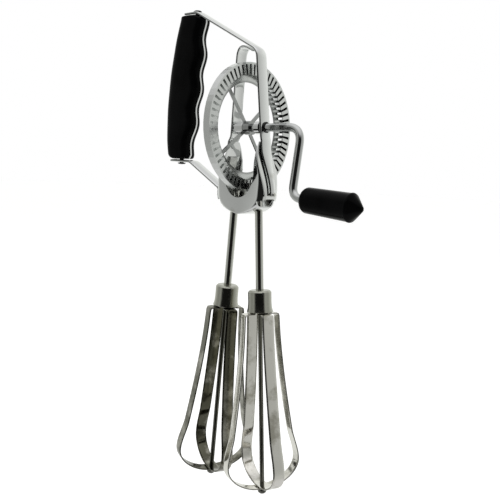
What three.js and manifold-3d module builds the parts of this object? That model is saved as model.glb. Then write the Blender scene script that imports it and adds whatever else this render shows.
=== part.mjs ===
// Rotary egg beater: a D-handled steel frame, a crown wheel turned by a side crank,
// and two bladed beaters driven in opposite senses by pinions on either face of the wheel.
//
// Millimetres, +Z up. The crank axis runs along Y with the crank on the -Y side and the grip
// on the +Y side. The model is drawn about the wheel's centre and then moved, so that the
// exported origin is the middle of the grip.

import * as THREE from 'three';
import { mergeVertices } from 'three/addons/utils/BufferGeometryUtils.js';
import Module from 'manifold-3d';

const wasm = await Module();
wasm.setup();

// ---------------------------------------------------------------- driving dimensions

const SHEET = 1.0; // pressed steel sheet of the gear housing
const STRAP_THICKNESS = 1.8;
const STRAP_WIDTH = 9.8;
const FIT_GAP = 0.3; // clearance left between pieces that meet

// crown wheel
const WHEEL_RADIUS = 41.25;
const WHEEL_DEPTH = 4.9; // over the teeth on both faces
const WHEEL_TEETH = 60;
const TEETH_INNER_RADIUS = 34.2;
const TEETH_OUTER_RADIUS = 40.0;
const TOOTH_SHEET = 0.7; // sheet thickness of the pressed corrugation
const BAND_INNER_RADIUS = 28.8; // the flat band lies at the wheel's rear face
const SPOKE_WIDTH = 2.5;
const SPOKE_ANGLES = [40, 130, 216, 308]; // degrees from +X, turning towards +Z
const HUB_RADIUS = 4.5;

// crank
const CRANK_ROD_RADIUS = 2.6;
const CRANK_RADIUS = 43.8;
const CRANK_REST_ANGLE = 9.7; // degrees the hanging arm leans towards -X
const CRANK_ARM_Y = -41.3;
const CRANK_BEND = 10.5;
const KNOB_BEND = 7.5;
const KNOB_TILT = 5; // degrees the knob's axis droops outwards
const KNOB_LENGTH = 41.5;
const KNOB_RADIUS = 8.5;

// beaters
const PINION_TEETH = 12;
const PINION_Z = -37.2;
const PINION_WIDTH = 3.8;
const PINION_TIP_RADIUS = 8.0;
const PINION_ROOT_RADIUS = 5.9;
const SHAFT_TILT = 3.87; // degrees that each beater leans outwards
const SHAFT_OFFSET = 6.8; // from the wheel's middle plane, at the height of its axle
const TUBE_RADIUS = 2.55;
const SPINDLE_RADIUS = 1.5;
const COLLAR_TOP = 104.5; // distances along the shaft from the height of the axle
const COLLAR_BOTTOM = 118.8;
const COLLAR_RADIUS = 7.7;
const BLADE_BOTTOM = 234.0;
const BLADE_RADIUS = 25.4;
const BLADE_WIDTH = 8.0;
const BLADE_THICKNESS = 0.9;
const BLADE_PHASE = 27; // degrees from the beaters' common plane, at rest

// frame
const BOSS_RADIUS = 4.2;
const BUSH_RADIUS = 3.6;
const HOUSING_HALF_WIDTH = 9.4;
const HOUSING_HALF_DEPTH = 19.8;
const HOUSING_TOP = -9;
const HOUSING_WIDEST_Z = -43;
const HOUSING_BOTTOM = -55.5;
const RIVET_Z = -42.3;
const TONGUE_TIP = 2.4;
const RIVET_HOLE = 1.45;

// grip
const GRIP_HALF_THICKNESS = 6.7;
const GRIP_TOP = 75.6;
const GRIP_BOTTOM = -20.7;
const CORE_THICKNESS = 1.3;
const GRIP_CENTRE = new THREE.Vector3(0, 58, 28);

// ---------------------------------------------------------------- materials

const finish = (color, roughness, metalness) => {
  return new THREE.MeshStandardMaterial({ color, roughness, metalness });
};
const CHROME = finish(0xd9dcdc, 0.12, 1);
const STEEL = finish(0xb9bab2, 0.22, 1);
const DARK_STEEL = finish(0x4a4b48, 0.4, 1);
const BLACK_PLASTIC = finish(0x0a0a0b, 0.18, 0);

// ---------------------------------------------------------------- geometry helpers

const X = new THREE.Vector3(1, 0, 0);
const Y = new THREE.Vector3(0, 1, 0);
const Z = new THREE.Vector3(0, 0, 1);
const rad = THREE.MathUtils.degToRad;

/** A closed manifold solid from a three.js geometry. */
function solid(geometry) {
  const bare = geometry.clone();
  bare.deleteAttribute('normal');
  bare.deleteAttribute('uv');
  const merged = mergeVertices(bare, 1e-4);
  return new wasm.Manifold(new wasm.Mesh({
    numProp: 3,
    vertProperties: new Float32Array(merged.attributes.position.array),
    triVerts: new Uint32Array(merged.index.array),
  }));
}

/** A three.js geometry from a manifold solid. */
function geometryOf(manifold) {
  const mesh = manifold.getMesh();
  const geometry = new THREE.BufferGeometry();
  geometry.setAttribute('position', new THREE.BufferAttribute(mesh.vertProperties, 3));
  geometry.setIndex(new THREE.BufferAttribute(mesh.triVerts, 1));
  geometry.computeVertexNormals();
  return geometry;
}

const cut = (body, ...tools) => tools.reduce((left, tool) => left.subtract(tool), body);
const join = (...bodies) => bodies.reduce((left, body) => left.add(body));

/** Extrudes an outline drawn in the YZ plane symmetrically along X. */
function extrudeAlongX(shape, width, options = {}) {
  const geometry = new THREE.ExtrudeGeometry(shape, {
    depth: width, bevelEnabled: false, curveSegments: 8, ...options,
  });
  geometry.translate(0, 0, -width / 2);
  return geometry.applyMatrix4(new THREE.Matrix4().makeBasis(Y, Z, X));
}

/** Extrudes an outline drawn in the XZ plane symmetrically along Y. */
function extrudeAlongY(shape, depth) {
  const geometry = new THREE.ExtrudeGeometry(shape, { depth, bevelEnabled: false, curveSegments: 8 });
  geometry.translate(0, 0, -depth / 2);
  return geometry.applyMatrix4(new THREE.Matrix4().makeBasis(X, Z, Y.clone().negate()));
}

/** A polyline through corners [u, v, radius]; a corner with no radius stays sharp. */
function roundedPath(corners) {
  const path = new THREE.Path();
  path.moveTo(corners[0][0], corners[0][1]);
  for (let i = 1; i < corners.length - 1; i++) {
    if (!corners[i][2]) {
      path.lineTo(corners[i][0], corners[i][1]);
      continue;
    }
    const corner = new THREE.Vector2(corners[i][0], corners[i][1]);
    const before = new THREE.Vector2(corners[i - 1][0], corners[i - 1][1]).sub(corner).normalize();
    const after = new THREE.Vector2(corners[i + 1][0], corners[i + 1][1]).sub(corner).normalize();
    const halfAngle = Math.acos(THREE.MathUtils.clamp(before.dot(after), -1, 1)) / 2;
    const reach = corners[i][2] / Math.tan(halfAngle);
    path.lineTo(corner.x + before.x * reach, corner.y + before.y * reach);
    path.quadraticCurveTo(corner.x, corner.y, corner.x + after.x * reach, corner.y + after.y * reach);
  }
  const last = corners[corners.length - 1];
  path.lineTo(last[0], last[1]);
  return path.getPoints(6);
}

/** The outline of a band of even thickness that follows a polyline. */
function bandShape(points, thickness) {
  const left = [];
  const right = [];
  points.forEach((point, i) => {
    const from = points[Math.max(i - 1, 0)];
    const to = points[Math.min(i + 1, points.length - 1)];
    const along = to.clone().sub(from).normalize();
    const side = new THREE.Vector2(-along.y, along.x).multiplyScalar(thickness / 2);
    left.push(point.clone().add(side));
    right.push(point.clone().sub(side));
  });
  return new THREE.Shape([...left, ...right.reverse()]);
}

/** A strap of sheet steel: a band in the YZ plane, as wide as given along X. */
const strap = (corners, width = STRAP_WIDTH, thickness = STRAP_THICKNESS) =>
  extrudeAlongX(bandShape(roundedPath(corners), thickness), width);

/** A plain cylinder or ring along Z between two heights. */
function turned(profile, segments = 24) {
  const geometry = new THREE.LatheGeometry(profile.map(([r, h]) => new THREE.Vector2(r, h)), segments);
  return geometry.applyMatrix4(new THREE.Matrix4().makeBasis(X, Z, Y.clone().negate()));
}
const rod = (radius, low, high, segments = 24) =>
  turned([[0, low], [radius, low], [radius, high], [0, high]], segments);
const ring = (outer, inner, low, high, segments = 24) =>
  turned([[inner, low], [outer, low], [outer, high], [inner, high], [inner, low]], segments);

/** A closed skin over equal rings of points, capped flat at both ends. */
function loft(sections) {
  const around = sections[0].length;
  const positions = sections.flat().flatMap((point) => point.toArray());
  const at = (level, i) => level * around + (i % around);
  const index = [];
  for (let level = 0; level + 1 < sections.length; level++) {
    for (let i = 0; i < around; i++) {
      index.push(at(level, i), at(level, i + 1), at(level + 1, i + 1));
      index.push(at(level, i), at(level + 1, i + 1), at(level + 1, i));
    }
  }
  for (let i = 1; i + 1 < around; i++) {
    index.push(at(0, 0), at(0, i + 1), at(0, i));
    index.push(at(sections.length - 1, 0), at(sections.length - 1, i), at(sections.length - 1, i + 1));
  }
  const geometry = new THREE.BufferGeometry();
  geometry.setAttribute('position', new THREE.Float32BufferAttribute(positions, 3));
  geometry.setIndex(index);
  return geometry;
}

/** Turns a piece made along Z so that it lies along Y, its +Z end towards -Y. */
const layAlongY = (geometry) => geometry.rotateX(Math.PI / 2);

const model = new THREE.Group();
model.position.copy(GRIP_CENTRE).negate();

function addPiece(name, geometry, material, parent = model) {
  const mesh = new THREE.Mesh(geometry, material);
  mesh.name = name;
  parent.add(mesh);
  return mesh;
}

// ---------------------------------------------------------------- frame straps

// The front strap starts as a tab on top of the grip, slopes down over the wheel and
// becomes the front leg, whose end is a tapered tongue down the face of the housing.
const UPPER_SLOPE = 0.55;
const upperStrapZ = (y) => 53.7 + UPPER_SLOPE * (y - 2.6);
const LEG_SLOPE = 0.105;
const frontLegY = (z) => -12.5 + LEG_SLOPE * z;
const rearLegY = (z) => 11.4 - 0.05 * z;
const AXLE_HOLE = CRANK_ROD_RADIUS + 0.15;

function tongueTaper() {
  const shape = new THREE.Shape();
  const half = STRAP_WIDTH / 2;
  shape.moveTo(-half - 1, 90);
  shape.lineTo(-half - 1, -16);
  shape.lineTo(-half, -16);
  shape.bezierCurveTo(-3.9, -24, -2.7, -33, -TONGUE_TIP, RIVET_Z);
  shape.absarc(0, RIVET_Z, TONGUE_TIP, Math.PI, 2 * Math.PI, false);
  shape.bezierCurveTo(2.7, -33, 3.9, -24, half, -16);
  shape.lineTo(half + 1, -16);
  shape.lineTo(half + 1, 90);
  return solid(extrudeAlongY(shape, 140));
}


/** Half depth of the housing at a height, on its outside. */
function housingProfile(z) {
  const t = THREE.MathUtils.clamp((HOUSING_TOP - z) / (HOUSING_TOP - HOUSING_WIDEST_Z), 0, 1);
  const neck = 12.6;
  return neck + (HOUSING_HALF_DEPTH - neck) * t * t * (3 - 2 * t);
}

/** Corners of a strap's middle line down the outside of the housing's wall. */
function alongHousing(side, high, low, thickness) {
  const corners = [];
  for (let z = high; z >= low; z -= 4) {
    corners.push([side * (housingProfile(z) + 1.3 * FIT_GAP + thickness / 2), z]);
  }
  return corners;
}

const axleHole = solid(layAlongY(rod(AXLE_HOLE, -30, 30)));
const bushHole = solid(layAlongY(rod(BUSH_RADIUS + 0.1, -30, 30)));
const rivetHoles = solid(layAlongY(rod(RIVET_HOLE, -30, 30, 16)).translate(0, 0, RIVET_Z));

{
  const cornerY = -6.9;
  const body = solid(strap([
    [57.2, GRIP_TOP + FIT_GAP + STRAP_THICKNESS / 2 + 0.3],
    [46.4, GRIP_TOP + FIT_GAP + STRAP_THICKNESS / 2 + 0.3, 5],
    [cornerY, upperStrapZ(cornerY), 8],
    [frontLegY(-6), -6],
    ...alongHousing(-1, -9, -45, STRAP_THICKNESS),
  ]));
  const screwHole = solid(rod(1.8, 70, 90).translate(0, 49.4, 0));
  const tapered = body.intersect(tongueTaper());
  addPiece('front_frame_strap', geometryOf(cut(tapered, bushHole, screwHole, rivetHoles)), CHROME);
}

{
  const under = 2.2; // below the middle of the upper strap, measured upright
  const body = solid(strap([
    [-3.6, upperStrapZ(-3.6) - under],
    [rearLegY(55), upperStrapZ(rearLegY(55)) - under, 6.5],
    [rearLegY(-6), -6],
    ...alongHousing(1, -9, -37, 1.5),
  ], STRAP_WIDTH, 1.5));
  addPiece('rear_frame_strap', geometryOf(cut(body.intersect(tongueTaper()), axleHole)), CHROME);
}

{
  const body = solid(strap([
    [67.0, -21.9],
    [49.0, -22.6, 5],
    [HOUSING_HALF_DEPTH + 1.4, -39.6, 0.8],
    [HOUSING_HALF_DEPTH + 1.4, -44],
    [HOUSING_HALF_DEPTH + 0.7, -47],
  ]));
  const screwHole = solid(rod(1.8, -40, -10).translate(0, 60.5, 0));
  addPiece('lower_handle_arm', geometryOf(cut(body, screwHole, rivetHoles)), CHROME);
}

// ---------------------------------------------------------------- gear housing

/** The housing's outline seen along X, set in by a wall's thickness when inset is given. */
function housingSide(inset, top) {
  const shape = new THREE.Shape();
  const steps = 10;
  for (let i = 0; i <= steps; i++) {
    const z = HOUSING_TOP + (HOUSING_WIDEST_Z - HOUSING_TOP) * (i / steps);
    if (i === 0) shape.moveTo(-housingProfile(z) + inset, top);
    shape.lineTo(-housingProfile(z) + inset, z);
  }
  shape.absellipse(0, HOUSING_WIDEST_Z, HOUSING_HALF_DEPTH - inset,
    HOUSING_WIDEST_Z - HOUSING_BOTTOM - inset, Math.PI, 2 * Math.PI, false);
  for (let i = steps; i >= 0; i--) {
    const z = HOUSING_TOP + (HOUSING_WIDEST_Z - HOUSING_TOP) * (i / steps);
    shape.lineTo(housingProfile(z) - inset, z);
    if (i === 0) shape.lineTo(housingProfile(z) - inset, top);
  }
  return solid(extrudeAlongX(shape, 30));
}

/** The housing's outline seen along Y: as wide as the strap at its neck, then flaring. */
function housingFront(inset, top) {
  const neck = STRAP_WIDTH / 2 - inset;
  const full = HOUSING_HALF_WIDTH - inset;
  const shape = new THREE.Shape();
  shape.moveTo(-neck, top);
  shape.lineTo(-neck, HOUSING_TOP);
  shape.bezierCurveTo(-neck - 1, -16, -full, -18, -full, -27);
  shape.lineTo(-full, -60);
  shape.lineTo(full, -60);
  shape.lineTo(full, -27);
  shape.bezierCurveTo(full, -18, neck + 1, -16, neck, HOUSING_TOP);
  shape.lineTo(neck, top);
  return solid(extrudeAlongY(shape, 60));
}

/** The housing's outline seen along Z, a rectangle with rounded corners. */
function housingPlan(inset) {
  const halfX = HOUSING_HALF_WIDTH - inset;
  const halfY = HOUSING_HALF_DEPTH - inset;
  const corner = 4.5 - inset;
  const shape = new THREE.Shape();
  shape.moveTo(-halfX, -halfY + corner);
  shape.absarc(-halfX + corner, -halfY + corner, corner, Math.PI, 1.5 * Math.PI, false);
  shape.absarc(halfX - corner, -halfY + corner, corner, 1.5 * Math.PI, 2 * Math.PI, false);
  shape.absarc(halfX - corner, halfY - corner, corner, 0, 0.5 * Math.PI, false);
  shape.absarc(-halfX + corner, halfY - corner, corner, 0.5 * Math.PI, Math.PI, false);
  const geometry = new THREE.ExtrudeGeometry(shape, { depth: 90, bevelEnabled: false, curveSegments: 3 });
  return solid(geometry.translate(0, 0, -80));
}

function gearHousing() {
  const elevation = housingSide(0, HOUSING_TOP).intersect(housingFront(0, HOUSING_TOP));
  const outside = elevation.intersect(housingPlan(0));
  const inside = housingSide(SHEET, 5).intersect(housingFront(SHEET, 5)).intersect(housingPlan(SHEET));

  const wheelSlot = new THREE.Shape(); // open-topped U in both side plates, clear of the wheel
  wheelSlot.moveTo(-11.6, 10);
  wheelSlot.lineTo(-12.2, -29);
  wheelSlot.absellipse(0, -29, 12.2, 16.0, Math.PI, 2 * Math.PI, false);
  wheelSlot.lineTo(11.6, 10);

  const floorOpening = new THREE.Shape(); // arched lower edge of the front and rear walls
  const floorHalf = HOUSING_HALF_WIDTH - SHEET - 0.2;
  floorOpening.moveTo(-floorHalf, -70);
  floorOpening.lineTo(-floorHalf, -46.8);
  floorOpening.quadraticCurveTo(0, -43.2, floorHalf, -46.8);
  floorOpening.lineTo(floorHalf, -70);

  const openings = join(solid(extrudeAlongX(wheelSlot, 40)), solid(extrudeAlongY(floorOpening, 60)));
  return cut(outside, inside, openings, rivetHoles);
}
addPiece('gear_housing', geometryOf(gearHousing()), CHROME);

// ---------------------------------------------------------------- shaft frames

// Each beater turns about its own leaning axis. In its group, -Z runs down the shaft and
// the group's origin is where the axis passes the height of the axle.
function beaterGroup(side) {
  const group = new THREE.Group();
  group.position.set(0, side * SHAFT_OFFSET, 0);
  group.rotation.x = side * rad(SHAFT_TILT);
  model.add(group);
  group.updateMatrix();
  return group;
}
const SIDES = { front: -1, rear: 1 };
const groups = { front: beaterGroup(SIDES.front), rear: beaterGroup(SIDES.rear) };

/** A clearance cylinder on both shafts' axes, in the frame's own coordinates. */
const shaftHoles = (radius, low, high) =>
  join(...Object.values(groups).map((group) => solid(rod(radius, low, high).applyMatrix4(group.matrix))));

// ---------------------------------------------------------------- bearings in the housing

{
  const plateZ = -45.0;
  const reach = HOUSING_HALF_DEPTH - SHEET - 2 * FIT_GAP;
  const body = solid(strap([
    [-reach + 0.6, -40.0],
    [-reach + 0.6, plateZ, 1.2],
    [reach - 0.6, plateZ, 1.2],
    [reach - 0.6, -40.0],
  ], 11, 1.2));
  const tubeHoles = shaftHoles(TUBE_RADIUS + 0.1, -60, -40);
  addPiece('bearing_bridge', geometryOf(cut(body, tubeHoles, rivetHoles)), STEEL);
}

for (const [end, side] of Object.entries(SIDES)) {
  const wallY = (z) => housingProfile(z) - SHEET - FIT_GAP - 0.6;
  const body = solid(strap([
    [side * wallY(-19), -19],
    [side * wallY(-25), -25, 3],
    [side * (wallY(-32) + 0.1), -32.2, 1.2],
    [side * 5.4, -32.2],
  ], 7, 1.2));
  const spindleHoles = shaftHoles(SPINDLE_RADIUS + 0.05, -40, -20);
  addPiece(`${end}_spindle_bracket`, geometryOf(cut(body, spindleHoles)), STEEL);
}

// ---------------------------------------------------------------- bosses and rivets

for (const [end, side] of Object.entries(SIDES)) {
  const legY = side < 0 ? frontLegY(0) : rearLegY(0);
  const inner = Math.abs(legY) - STRAP_THICKNESS / 2 - FIT_GAP - (side < 0 ? 1.3 : BOSS_RADIUS * LEG_SLOPE);
  const outer = WHEEL_DEPTH / 2 + (side < 0 ? 3.8 : 0.6);
  const boss = ring(BOSS_RADIUS, CRANK_ROD_RADIUS + 0.06, outer, inner);
  addPiece(`${end}_axle_boss`, side < 0 ? layAlongY(boss) : layAlongY(boss).rotateZ(Math.PI), STEEL);
}

{
  const face = -frontLegY(0) + STRAP_THICKNESS / 2 + 0.5;
  const bush = ring(BUSH_RADIUS, CRANK_ROD_RADIUS + 0.06, face - 3.0, face);
  addPiece('front_leg_bush', layAlongY(bush), DARK_STEEL);
}

for (const [end, side] of Object.entries(SIDES)) {
  const face = HOUSING_HALF_DEPTH + STRAP_THICKNESS + (side < 0 ? 2 * FIT_GAP : 3 * FIT_GAP);
  const inside = HOUSING_HALF_DEPTH - SHEET - 2.2;
  const profile = [[0, inside - 0.9], [1.8, inside - 0.8], [1.8, inside], [1.3, inside], [1.3, face],
    [1.5, face], [1.3, face + 0.5], [0.8, face + 0.8], [0, face + 0.8]];
  const rivet = layAlongY(turned(profile, 16)).translate(0, 0, RIVET_Z);
  addPiece(`${end}_housing_rivet`, side < 0 ? rivet : rivet.rotateZ(Math.PI), DARK_STEEL);
}

// ---------------------------------------------------------------- grip

/** Front and back edges of the grip at a height: three finger waves, and a bowed back. */
function gripEdges(z) {
  const up = z - 19;
  const wave = 1.3 * Math.cos((2 * Math.PI * (z - 49)) / 23.3);
  const topRound = 5.5 * Math.max(0, (z - 72) / (GRIP_TOP - 72)) ** 2.5;
  const bottomRound = 1.5 * Math.max(0, (GRIP_BOTTOM + 3 - z) / 3) ** 2;
  const front = 46.2 - 0.1355 * up + 0.00117 * up * up - wave + topRound + bottomRound;
  const bow = (z - 3) / (z > 3 ? 74 : 23);
  const back = 72.6 - (z > 3 ? 12.2 * Math.abs(bow) ** 2.1 : 2.4 * bow ** 2) - 2.5 * bottomRound;
  return [front, back];
}

const gripHeights = Array.from({ length: 37 }, (_, i) => THREE.MathUtils.lerp(GRIP_BOTTOM, GRIP_TOP, i / 36));

/** The grip's rounded body, its oval sections stacked from bottom to top. */
function gripBody() {
  const around = 20;
  const sections = gripHeights.map((z, level) => {
    const [front, back] = gripEdges(z);
    const inset = level === 0 || level === gripHeights.length - 1 ? 0.8 : 0;
    return Array.from({ length: around }, (_, i) => {
      const angle = (2 * Math.PI * (i + 0.5)) / around;
      const round = (value) => Math.sign(value) * Math.abs(value) ** 0.62;
      const x = (GRIP_HALF_THICKNESS - inset) * round(Math.cos(angle));
      const y = (front + back) / 2 + ((back - front) / 2 - inset) * round(Math.sin(angle));
      return new THREE.Vector3(x, y, z);
    });
  });
  return solid(loft(sections));
}

/** The grip's flat core plate, a little proud of the plastic scales. */
function gripOutline(proud) {
  const front = gripHeights.map((z) => new THREE.Vector2(gripEdges(z)[0] - proud, z));
  const back = gripHeights.map((z) => new THREE.Vector2(gripEdges(z)[1] + proud, z));
  return new THREE.Shape([...front, ...back.reverse()]);
}

const SCREW_SHANK = 1.5;
const screwShafts = join(
  solid(rod(SCREW_SHANK + FIT_GAP, 60, 90).translate(0, 49.4, 0)),
  solid(rod(SCREW_SHANK + FIT_GAP, -40, -7).translate(0, 60.5, 0)),
);

{
  const whole = cut(gripBody(), screwShafts);
  const half = (side) => {
    const keep = new THREE.BoxGeometry(20, 80, 160);
    keep.translate(side * (10 + CORE_THICKNESS / 2 + FIT_GAP / 2), 58, 28);
    return geometryOf(whole.intersect(solid(keep)));
  };
  addPiece('near_grip_scale', half(-1), BLACK_PLASTIC);
  addPiece('far_grip_scale', half(1), BLACK_PLASTIC);
  const plate = solid(extrudeAlongX(gripOutline(0.4), CORE_THICKNESS));
  addPiece('grip_core_plate', geometryOf(cut(plate, screwShafts)), CHROME);
}

{
  const head = [[0, 0], [2.8, 0], [2.8, 0.4], [2.1, 0.9], [0, 1.1]];
  const shank = 11;
  const profile = [[0, -shank], [SCREW_SHANK, -shank], [SCREW_SHANK, 0], ...head.slice(1)];
  addPiece('upper_grip_screw', turned(profile, 16).translate(0, 49.4, 78.3), DARK_STEEL);
  addPiece('lower_grip_screw', turned(profile, 16).rotateX(Math.PI).translate(0, 60.5, -23.4), DARK_STEEL);
}

// ---------------------------------------------------------------- crown wheel

/** Tapering blocks, one per tooth pitch, that cut the grooves of one face of the wheel. */
function grooveBlocks(innerRadius, yLow, yHigh, phase) {
  const halfWidth = (radius) => ((Math.PI * radius) / WHEEL_TEETH - TOOTH_SHEET / 2) / 2;
  const blocks = [];
  for (let tooth = 0; tooth < WHEEL_TEETH; tooth++) {
    const shape = new THREE.Shape();
    shape.moveTo(-halfWidth(innerRadius), innerRadius);
    shape.lineTo(halfWidth(innerRadius), innerRadius);
    shape.lineTo(halfWidth(TEETH_OUTER_RADIUS), TEETH_OUTER_RADIUS);
    shape.lineTo(-halfWidth(TEETH_OUTER_RADIUS), TEETH_OUTER_RADIUS);
    const block = extrudeAlongY(shape, yHigh - yLow).translate(0, (yHigh + yLow) / 2, 0);
    block.rotateY((2 * Math.PI * (tooth + phase)) / WHEEL_TEETH);
    blocks.push(solid(block));
  }
  return join(...blocks);
}

// Grooves are pressed into both faces by turns and run out into the window at their inner
// ends, so that each tooth is an open-ended hollow rib standing on the rim wall.
function crownWheel() {
  const half = WHEEL_DEPTH / 2;
  const segments = WHEEL_TEETH;
  const wallRadius = TEETH_INNER_RADIUS - TOOTH_SHEET;
  const toothRing = solid(layAlongY(ring(WHEEL_RADIUS, wallRadius, -half, half, segments)));
  const frontGrooves = grooveBlocks(wallRadius - 0.3, -half - 1, half - TOOTH_SHEET, 0);
  const rearGrooves = grooveBlocks(wallRadius - 0.3, -half + TOOTH_SHEET, half + 1, 0.5);
  const band = solid(layAlongY(ring(wallRadius + 0.3, BAND_INNER_RADIUS, -half, -half + 0.8, segments)));
  let wheel = join(cut(toothRing, frontGrooves, rearGrooves), band);
  for (const angle of SPOKE_ANGLES) {
    const spoke = new THREE.BoxGeometry(BAND_INNER_RADIUS - HUB_RADIUS + 2, 0.8, SPOKE_WIDTH);
    spoke.translate((BAND_INNER_RADIUS + HUB_RADIUS) / 2 + 0.8, half - 0.5, 0);
    wheel = wheel.add(solid(spoke.rotateY(-rad(angle))));
  }
  const hubSleeve = solid(layAlongY(ring(HUB_RADIUS, CRANK_ROD_RADIUS + 0.06, -half, half)));
  return wheel.add(hubSleeve);
}
addPiece('crown_wheel', geometryOf(crownWheel()), CHROME);

// ---------------------------------------------------------------- crank and knob

// The crank, its arm and the knob's pin are one bent rod. It is drawn hanging in the
// YZ plane and leaned about the wheel's axle to its resting angle.
const crank = new THREE.Group();
crank.rotation.y = rad(CRANK_REST_ANGLE);
model.add(crank);

const knobAxis = new THREE.Group();
const KNOB_START_Y = CRANK_ARM_Y - 9.3;
{
  const turn = rad(KNOB_TILT);
  const pinStart = new THREE.Vector3(0, CRANK_ARM_Y, -CRANK_RADIUS);
  const out = new THREE.Vector3(0, -Math.cos(turn), -Math.sin(turn));
  const route = new THREE.CurvePath();
  const points = [
    new THREE.Vector3(0, 11.0, 0),
    new THREE.Vector3(0, CRANK_ARM_Y + CRANK_BEND, 0),
    new THREE.Vector3(0, CRANK_ARM_Y, 0),
    new THREE.Vector3(0, CRANK_ARM_Y, -CRANK_BEND),
    new THREE.Vector3(0, CRANK_ARM_Y, -CRANK_RADIUS + KNOB_BEND),
    pinStart,
    pinStart.clone().addScaledVector(out, KNOB_BEND),
    pinStart.clone().addScaledVector(out, CRANK_ARM_Y - KNOB_START_Y - FIT_GAP),
  ];
  route.add(new THREE.LineCurve3(points[0], points[1]));
  route.add(new THREE.QuadraticBezierCurve3(points[1], points[2], points[3]));
  route.add(new THREE.LineCurve3(points[3], points[4]));
  route.add(new THREE.QuadraticBezierCurve3(points[4], points[5], points[6]));
  route.add(new THREE.LineCurve3(points[6], points[7]));
  const section = new THREE.Shape().absarc(0, 0, CRANK_ROD_RADIUS, 0, 2 * Math.PI, false);
  const bent = new THREE.ExtrudeGeometry(section, {
    steps: 42, extrudePath: route, bevelEnabled: false, curveSegments: 8,
  });
  const pin = rod(1.9, 0, 40.5, 16);
  pin.rotateX(Math.PI / 2 + turn).translate(0, pinStart.y, pinStart.z);
  addPiece('crank_rod', geometryOf(join(solid(bent), solid(pin))), STEEL, crank);
  knobAxis.position.copy(pinStart);
  knobAxis.rotation.x = Math.PI / 2 + turn;
  crank.add(knobAxis);
}

{
  const start = CRANK_ARM_Y - KNOB_START_Y;
  const bore = 1.9 + 0.08;
  const boreEnd = start + 32.5;
  const profile = [
    [bore, start], [5.2, start], [7.0, start + 0.9], [7.9, start + 2.6],
    [KNOB_RADIUS, start + 32.0], [KNOB_RADIUS + 0.3, start + 33.4], [KNOB_RADIUS, start + 34.2],
    [1.3, start + KNOB_LENGTH - 0.5], [0, start + KNOB_LENGTH], [0, boreEnd], [bore, boreEnd],
    [bore, start],
  ];
  addPiece('crank_knob', turned(profile, 32), BLACK_PLASTIC, knobAxis);
}

// ---------------------------------------------------------------- beaters

/** Outline of a spur pinion with thin, well-relieved teeth; one tooth points along +u. */
function pinionShape() {
  const shape = new THREE.Shape();
  const tipHalf = 0.34 / PINION_TIP_RADIUS;
  const rootHalf = 0.95 / PINION_ROOT_RADIUS;
  for (let tooth = 0; tooth < PINION_TEETH; tooth++) {
    const middle = (2 * Math.PI * tooth) / PINION_TEETH;
    const at = (radius, angle) => [radius * Math.cos(angle), radius * Math.sin(angle)];
    const corners = [
      at(PINION_ROOT_RADIUS, middle - rootHalf), at(PINION_TIP_RADIUS, middle - tipHalf),
      at(PINION_TIP_RADIUS, middle + tipHalf), at(PINION_ROOT_RADIUS, middle + rootHalf),
    ];
    corners.forEach(([u, v], i) => (tooth === 0 && i === 0 ? shape.moveTo(u, v) : shape.lineTo(u, v)));
  }
  const bore = new THREE.Path().absarc(0, 0, TUBE_RADIUS + 0.05, 0, 2 * Math.PI, true);
  shape.holes.push(bore);
  return shape;
}

/** Half of a blade's centre line, from inside the collar to the crossing at the bottom. */
function bladeSide(drop) {
  const path = new THREE.Path();
  path.moveTo(4.6, -COLLAR_BOTTOM + 5);
  path.lineTo(4.6, -COLLAR_BOTTOM - 0.1);
  path.quadraticCurveTo(4.6, -COLLAR_BOTTOM - 1.1, 5.6, -COLLAR_BOTTOM - 1.1);
  path.lineTo(9.8, -COLLAR_BOTTOM - 1.1);
  path.quadraticCurveTo(11.7, -COLLAR_BOTTOM - 1.1, 11.9, -COLLAR_BOTTOM - 3.4);
  path.bezierCurveTo(13.2, -150, 17.4, -178, 21.0, -200);
  path.bezierCurveTo(22.6, -207, BLADE_RADIUS, -212.5, BLADE_RADIUS, -219);
  path.bezierCurveTo(BLADE_RADIUS, -226.5, 16.5, -232.4 - drop, 5.5, -BLADE_BOTTOM - drop);
  path.lineTo(0, -BLADE_BOTTOM - drop);
  return path.getPoints(6);
}

/** A U-shaped blade of flat strip lying in the YZ plane of the beater. */
function blade(drop) {
  const side = bladeSide(drop);
  const mirrored = side.slice(0, -1).reverse().map((point) => new THREE.Vector2(-point.x, point.y));
  const body = solid(extrudeAlongX(bandShape([...side, ...mirrored], BLADE_THICKNESS), BLADE_WIDTH));
  return cut(body, solid(rod(SPINDLE_RADIUS + 0.2, -250, -225, 16)));
}

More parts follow.
